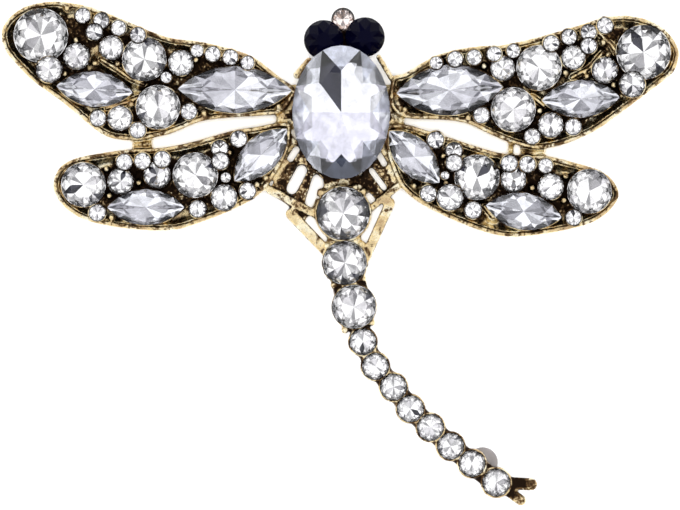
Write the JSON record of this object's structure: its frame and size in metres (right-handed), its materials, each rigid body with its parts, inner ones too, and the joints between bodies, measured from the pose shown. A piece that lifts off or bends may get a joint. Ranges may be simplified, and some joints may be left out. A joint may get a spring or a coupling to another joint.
{
  "type": "insect brooch",
  "caption": "Dragonfly brooch of cast antique-gold coloured metal with four wings and a curved tail, set all over with clear cut stones, fastened by a pin on its back.",
  "frame": {"origin": "middle of the brooch seen from the front, on the surface that it lies on", "axes": "+X to the right across the wings, +Y towards the head, +Z out of the face, away from the wearer"},
  "size_m": [0.0718, 0.0534, 0.0081],
  "materials": {
    "antique_gold": "antiqued",
    "clear_stone": "polished",
    "black_stone": "polished",
    "pin_metal": "satin",
    "grey_pad": "matt"
  },
  "bodies": {
    "root": {"frame": "antique_gold", "pin_back": "pin_metal", "tail_pad": "grey_pad", "oval_stone": "clear_stone", "eye_left": "black_stone", "eye_right": "black_stone", "head_stone": "clear_stone", "tail_stone_1": "clear_stone", "tail_stone_2": "clear_stone", "tail_stone_3": "clear_stone", "tail_stone_4": "clear_stone", "tail_stone_5": "clear_stone", "tail_stone_6": "clear_stone", "tail_stone_7": "clear_stone", "tail_stone_8": "clear_stone", "tail_stone_9": "clear_stone", "tail_stone_10": "clear_stone", "tail_stone_11": "clear_stone", "upper_left_tip_round": "clear_stone", "upper_left_middle_round": "clear_stone", "upper_left_edge_round": "clear_stone", "upper_right_tip_round": "clear_stone", "upper_right_middle_round": "clear_stone", "upper_right_edge_round": "clear_stone", "lower_left_tip_round": "clear_stone", "lower_left_middle_round": "clear_stone", "lower_right_tip_round": "clear_stone", "lower_right_middle_round": "clear_stone", "upper_left_outer_navette": "clear_stone", "upper_left_inner_navette": "clear_stone", "upper_right_outer_navette": "clear_stone", "upper_right_inner_navette": "clear_stone", "lower_left_outer_navette": "clear_stone", "lower_left_inner_navette": "clear_stone", "lower_right_outer_navette": "clear_stone", "lower_right_inner_navette": "clear_stone", "upper_left_small_stones": "clear_stone", "upper_right_small_stones": "clear_stone", "lower_left_small_stones": "clear_stone", "lower_right_small_stones": "clear_stone"}
  },
  "joints": []
}
